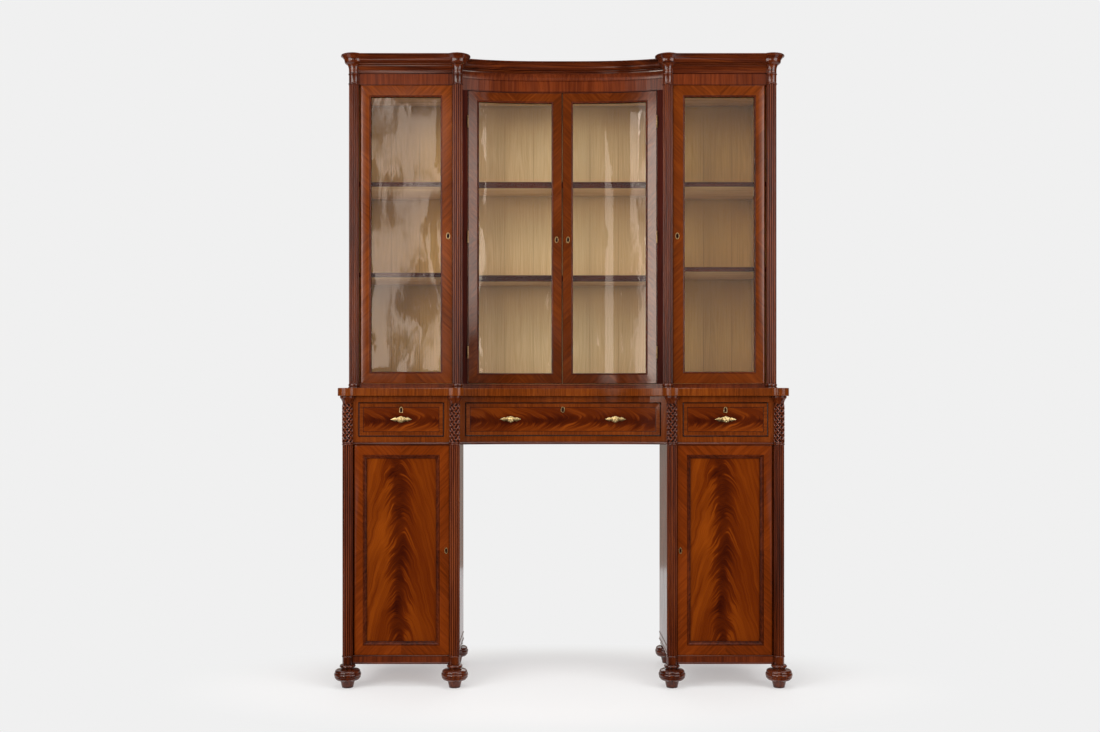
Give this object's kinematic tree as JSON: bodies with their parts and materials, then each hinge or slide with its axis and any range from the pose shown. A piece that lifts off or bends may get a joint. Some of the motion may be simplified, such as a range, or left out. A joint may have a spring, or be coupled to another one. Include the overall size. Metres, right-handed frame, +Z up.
{
  "type": "bookcase",
  "caption": "Tall mahogany bookcase with glazed wings beside a hollow glazed centre, reeded corner columns, a drawer section and panelled pedestals round a kneehole.",
  "frame": {"origin": "on the floor, under the middle of the bounding box", "axes": "+Z up, the doors and drawers face -Y, +X towards the right-hand wing as seen from the front"},
  "size_m": [1.723, 0.5206, 2.417],
  "materials": {
    "mahogany_case": "French polished, straight grain with cross-banded rails",
    "mahogany_frame": "French polished cross-grained veneer with dark stringing",
    "mahogany_turned": "French polished dark turned and carved wood",
    "mahogany_flame": "French polished flame veneer",
    "pale_wood": "waxed pale softwood",
    "shelf_wood": "waxed wood with a dark front edge",
    "old_glass": "clear, slightly wavy",
    "brass": "lacquered cast brass"
  },
  "bodies": {
    "carcase": {"back_foot_inner_left": "mahogany_turned", "back_foot_inner_right": "mahogany_turned", "back_foot_outer_left": "mahogany_turned", "back_foot_outer_right": "mahogany_turned", "centre_back": "pale_wood", "centre_case": "mahogany_case", "centre_cornice": "mahogany_case", "centre_shelf_lower": "shelf_wood", "centre_shelf_upper": "shelf_wood", "drawer_case": "mahogany_case", "front_foot_inner_left": "mahogany_turned", "front_foot_inner_right": "mahogany_turned", "front_foot_outer_left": "mahogany_turned", "front_foot_outer_right": "mahogany_turned", "lower_column_inner_left": "mahogany_turned", "lower_column_inner_right": "mahogany_turned", "lower_column_outer_left": "mahogany_turned", "lower_column_outer_right": "mahogany_turned", "pedestal_back_left": "pale_wood", "pedestal_back_right": "pale_wood", "pedestal_case_left": "mahogany_case", "pedestal_case_right": "mahogany_case", "rope_column_inner_left": "mahogany_turned", "rope_column_inner_right": "mahogany_turned", "rope_column_outer_left": "mahogany_turned", "rope_column_outer_right": "mahogany_turned", "upper_column_inner_left": "mahogany_turned", "upper_column_inner_right": "mahogany_turned", "upper_column_outer_left": "mahogany_turned", "upper_column_outer_right": "mahogany_turned", "waist_board": "mahogany_case", "wing_back_left": "pale_wood", "wing_back_right": "pale_wood", "wing_case_left": "mahogany_case", "wing_case_right": "mahogany_case", "wing_cornice_left": "mahogany_case", "wing_cornice_right": "mahogany_case", "wing_shelf_lower_left": "shelf_wood", "wing_shelf_lower_right": "shelf_wood", "wing_shelf_upper_left": "shelf_wood", "wing_shelf_upper_right": "shelf_wood"},
    "wing_door_left": {"wing_door_left_frame": "mahogany_frame", "wing_door_left_glass": "old_glass"},
    "centre_door_left": {"centre_door_left_frame": "mahogany_frame", "centre_door_left_glass": "old_glass"},
    "pedestal_door_left": {"pedestal_door_left_frame": "mahogany_frame", "pedestal_door_left_panel": "mahogany_flame"},
    "small_drawer_left": {"drawer_left": "mahogany_frame", "handle_left": "brass"},
    "wing_door_right": {"wing_door_right_frame": "mahogany_frame", "wing_door_right_glass": "old_glass"},
    "centre_door_right": {"centre_door_right_frame": "mahogany_frame", "centre_door_right_glass": "old_glass"},
    "pedestal_door_right": {"pedestal_door_right_frame": "mahogany_frame", "pedestal_door_right_panel": "mahogany_flame"},
    "small_drawer_right": {"drawer_right": "mahogany_frame", "handle_right": "brass"},
    "centre_drawer": {"drawer_centre": "mahogany_frame", "handle_centre_left": "brass", "handle_centre_right": "brass"}
  },
  "joints": [
    {"name": "wing_door_left_swing", "type": "hinge", "parent": "carcase", "child": "wing_door_left", "pos_m": [-0.779, -0.05275, 1.144], "axis": [0, 0, -1], "range_deg": [0, 90]},
    {"name": "centre_door_left_swing", "type": "hinge", "parent": "carcase", "child": "centre_door_left", "pos_m": [-0.373, 0.00104, 1.144], "axis": [0, 0, -1], "range_deg": [0, 100]},
    {"name": "pedestal_door_left_swing", "type": "hinge", "parent": "carcase", "child": "pedestal_door_left", "pos_m": [-0.779, -0.19875, 0.1195], "axis": [0, 0, -1], "range_deg": [0, 90]},
    {"name": "small_drawer_left_slide", "type": "slide", "parent": "carcase", "child": "small_drawer_left", "axis": [0, -1, 0], "range_m": [0, 0.3]},
    {"name": "wing_door_right_swing", "type": "hinge", "parent": "carcase", "child": "wing_door_right", "pos_m": [0.779, -0.05275, 1.144], "axis": [0, 0, 1], "range_deg": [0, 90]},
    {"name": "centre_door_right_swing", "type": "hinge", "parent": "carcase", "child": "centre_door_right", "pos_m": [0.373, 0.00104, 1.144], "axis": [0, 0, 1], "range_deg": [0, 100]},
    {"name": "pedestal_door_right_swing", "type": "hinge", "parent": "carcase", "child": "pedestal_door_right", "pos_m": [0.779, -0.19875, 0.1195], "axis": [0, 0, 1], "range_deg": [0, 90]},
    {"name": "small_drawer_right_slide", "type": "slide", "parent": "carcase", "child": "small_drawer_right", "axis": [0, -1, 0], "range_m": [0, 0.3]},
    {"name": "centre_drawer_slide", "type": "slide", "parent": "carcase", "child": "centre_drawer", "axis": [0, -1, 0], "range_m": [0, 0.24]}
  ]
}
